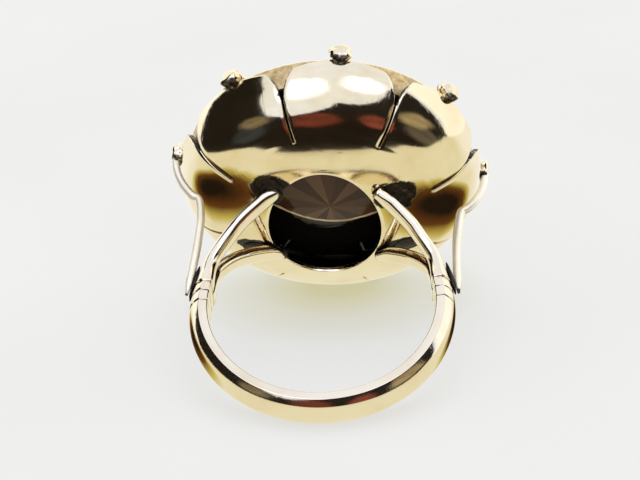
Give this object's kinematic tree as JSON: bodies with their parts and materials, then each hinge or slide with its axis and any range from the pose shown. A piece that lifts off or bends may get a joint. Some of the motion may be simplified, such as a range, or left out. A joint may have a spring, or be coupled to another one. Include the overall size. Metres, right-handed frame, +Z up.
{
  "type": "cocktail ring",
  "caption": "Large round cocktail ring: a dark faceted stone held by claws in a cup of sawn petals, on a slim band with forked shoulders and outer struts.",
  "frame": {"origin": "on the surface the ring lies on, under the middle of its bounding box", "axes": "+Z up from the surface; +Y from the band towards the head, as it lies; +X to the right, across the finger hole"},
  "size_m": [0.0256, 0.0288, 0.0233],
  "materials": {
    "gold": "polished",
    "stone": "polished"
  },
  "bodies": {
    "root": {"band": "gold", "front_left_branch": "gold", "front_right_branch": "gold", "back_left_branch": "gold", "back_right_branch": "gold", "left_strut": "gold", "right_strut": "gold", "petal_cup": "gold", "bezel_collar": "gold", "stone_seat": "gold", "stone": "stone", "claw_1": "gold", "claw_2": "gold", "claw_3": "gold", "claw_4": "gold", "claw_5": "gold", "claw_6": "gold", "claw_7": "gold", "claw_8": "gold"}
  },
  "joints": []
}
